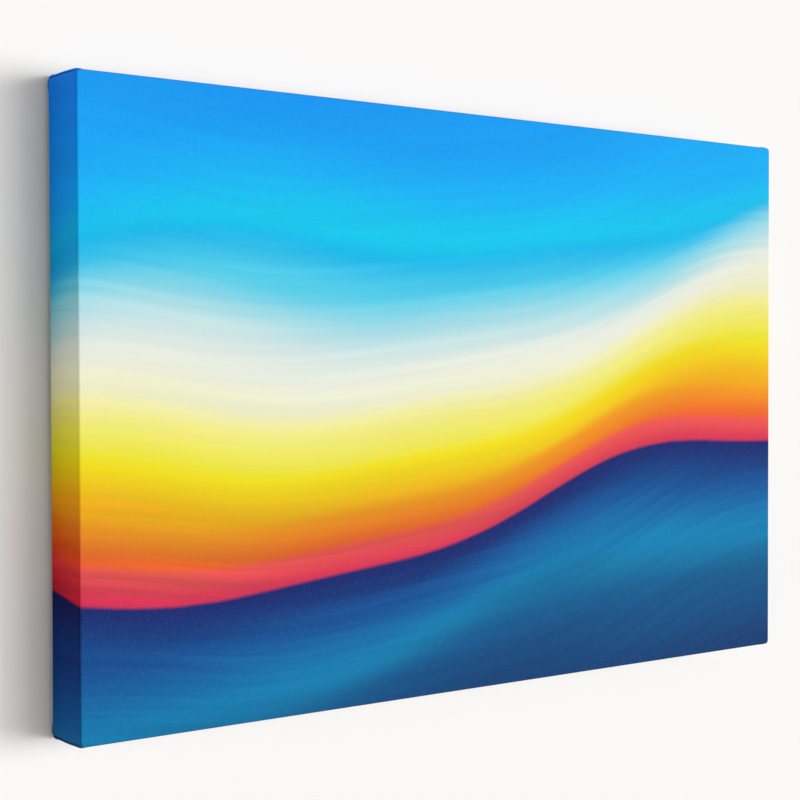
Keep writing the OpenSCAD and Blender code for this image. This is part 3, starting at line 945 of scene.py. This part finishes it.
def turned_piece(name, profile, centre_x, centre_z, segments):
    """A round solid about a line along Y, from its profile as (radius, y), closed at both ends."""
    points = []
    for r, y in profile:
        for n in range(segments):
            angle = 2 * math.pi * n / segments
            points.append((centre_x + r * math.cos(angle), y, centre_z + r * math.sin(angle)))
    return smooth_piece(name, closed_mesh(name, points, tube_faces(0, len(profile), segments)))


nails_low, nails_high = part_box("hanger_nails")
head_r = (nails_high.z - nails_low.z) / 2
nail_r = 0.7 * mm
head_under = nails_high.y - 0.6 * mm
# From the point up the shank, then round the head from its underside to its top
nail_profile = [
    (0.1 * mm, nails_low.y),
    (nail_r, nails_low.y + 2.2 * mm),
    (nail_r, head_under),
    (head_r - 0.1 * mm, head_under),
    (head_r, head_under + 0.1 * mm),
    (head_r, head_under + 0.22 * mm),
    (head_r * 0.92, head_under + 0.36 * mm),
    (head_r * 0.75, head_under + 0.47 * mm),
    (head_r * 0.5, head_under + 0.55 * mm),
    (head_r * 0.2, nails_high.y),
]
nail_steel, t, shader = new_material("nail_steel")
place = add(t, "TexCoord").outputs["Object"]
pitted = mottle(t, place, 1500.0, 3.0)
iron = mixed(t, between(t, pitted, 0.35, 0.7), paint(206, 178, 112), paint(150, 124, 74))
put(t, shader.inputs["Base Color"], iron)
put(t, shader.inputs["Roughness"], between(t, pitted, 0.3, 0.7, 0.3, 0.5))
put(t, shader.inputs["Normal"], bumped(t, pitted, 0.03 * mm))
shader.inputs["Metallic"].default_value = 1.0
nail_mid_z = (nails_low.z + nails_high.z) / 2
for side, x in (("left", nails_low.x + head_r), ("right", nails_high.x - head_r)):
    nail = turned_piece("hanger_nail_" + side, nail_profile, x, nail_mid_z, 28)
    nail.data.materials.append(nail_steel)
    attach(nail, "frame")
    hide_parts("hanger_nails")

# ---- Wall pads ----
# Two soft rubber bumpers, moulded with a slight taper and a dished face, stuck on the bottom bar. They hold
# the frame off the wall, level with the hanger.

rubber, t, shader = new_material("grey_rubber")
place = add(t, "TexCoord").outputs["Object"]
dust = mottle(t, place, 420.0, 4.0)
skin = mottle(t, place, 2600.0, 2.0)
grey = mixed(t, between(t, dust, 0.5, 0.8), paint(62, 62, 64), paint(104, 102, 98))
put(t, shader.inputs["Base Color"], grey)
put(t, shader.inputs["Roughness"], between(t, dust, 0.3, 0.7, 0.52, 0.74))
put(t, shader.inputs["Normal"], bumped(t, skin, 0.04 * mm))
for name in ("wall_pad_left", "wall_pad_right"):
    low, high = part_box(name)
    pad_r = (high.x - low.x) / 2
    # From the bottom bar out to the rounded rim, then into the dished face
    pad_profile = [
        (pad_r - 0.15 * mm, low.y),
        (pad_r, low.y + 0.2 * mm),
        (pad_r - 0.25 * mm, high.y - 1.5 * mm),
        (pad_r - 0.45 * mm, high.y - 0.9 * mm),
        (pad_r - 0.85 * mm, high.y - 0.4 * mm),
        (pad_r - 1.5 * mm, high.y - 0.08 * mm),
        (pad_r - 2.1 * mm, high.y),
        (pad_r - 2.8 * mm, high.y - 0.12 * mm),
        (pad_r - 3.8 * mm, high.y - 0.3 * mm),
        (0.3 * mm, high.y - 0.36 * mm),
    ]
    pad = turned_piece(name + "_bumper", pad_profile, (low.x + high.x) / 2, (low.z + high.z) / 2, 48)
    pad.data.materials.append(rubber)
    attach(pad, "frame")
    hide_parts(name)

# ---- Wall ----
# A matt white wall behind the picture, painted with a roller. Only its front shows: from behind, it lets the
# light and the view through.

wall_y = cad_box[1][1] + 0.2 * mm
wall_mesh = bpy.data.meshes.new("wall")
wall_mesh.from_pydata(
    [(-14, wall_y, -10), (14, wall_y, -10), (14, wall_y, 10), (-14, wall_y, 10)], [], [[0, 1, 2, 3]]
)
wall_paint, t, shader = new_material("wall_paint")
place = add(t, "TexCoord").outputs["Object"]
rolled = mottle(t, place, 420.0, 3.0)
shader.inputs["Base Color"].default_value = paint(250, 248, 246)
put(t, shader.inputs["Normal"], bumped(t, rolled, 0.05 * mm))
shader.inputs["Roughness"].default_value = 1.0
shader.inputs["Specular IOR Level"].default_value = 0.0
passed = add(t, "LightPath").outputs["Transparent Depth"]
front = maths(t, "SUBTRACT", 1.0, add(t, "NewGeometry").outputs["Backfacing"])
shows = maths(t, "MULTIPLY", maths(t, "LESS_THAN", passed, 0.5), front)
both = add(t, "MixShader")
put(t, both.inputs[0], shows)
put(t, both.inputs[1], add(t, "BsdfTransparent").outputs[0])
put(t, both.inputs[2], shader.outputs[0])
put(t, t.nodes["Material Output"].inputs["Surface"], both.outputs[0])
wall_mesh.materials.append(wall_paint)
wall = bpy.data.objects.new("wall", wall_mesh)
frame_scene.collection.objects.link(wall)

# ---- Lamps ----
# A wide window to the right, as three soft lamps side by side, throws the broad shadow to the left of the
# picture. The room's own light and a weak lamp from the left fill it. A lamp behind the wall is there for
# views of the back.

# For each: its way, how wide it is in degrees, and the light that it gives to a white surface. That surface
# is the wall, or for the side lamp one that faces left.
for name, way, angle, light in (
    ("key_lamp", (1.10, -1, 0), 30, 0.316),
    ("key_lamp_middle", (0.55, -1, 0), 30, 0.272),
    ("key_lamp_near", (0.10, -1, 0), 30, 0.131),
    ("side_lamp", (-1, -0.35, 0), 60, 0.09),
):
    way = Vector(way).normalized()
    lamp_data = bpy.data.lights.new(name, "SUN")
    lamp_data.angle = math.radians(angle)
    lamp_data.energy = light * math.pi / max(-way.y, -way.x)
    lamp = bpy.data.objects.new(name, lamp_data)
    frame_scene.collection.objects.link(lamp)
    lamp.matrix_world = Matrix.Translation(way * 4) @ way.to_track_quat("Z", "Y").to_matrix().to_4x4()

# The power is what gives a white sheet that faces this lamp the light back_light
back_light = 0.75
back_place = Vector((-1.6, 2.6, 1.3))
back_way = back_place - face_centre
back_data = bpy.data.lights.new("back_lamp", "AREA")
back_data.size = 2.0
back_data.energy = back_light * math.pi ** 2 * back_way.length_squared
back_lamp = bpy.data.objects.new("back_lamp", back_data)
frame_scene.collection.objects.link(back_lamp)
back_turn = back_way.to_track_quat("Z", "Y").to_matrix().to_4x4()
back_lamp.matrix_world = Matrix.Translation(back_place) @ back_turn

# The room gives less light than it would at the white in which it is seen and mirrored
room_light = (0.26, 0.26, 0.2548, 1)
room_white = paint(249, 248, 246)
world = bpy.data.worlds.new("room")
frame_scene.world = world
world.use_nodes = True
t = world.node_tree
ray = add(t, "LightPath").outputs
seen = maths(t, "MAXIMUM", ray["Is Camera Ray"], ray["Is Glossy Ray"])
put(t, t.nodes["Background"].inputs["Color"], mixed(t, seen, room_light, room_white))
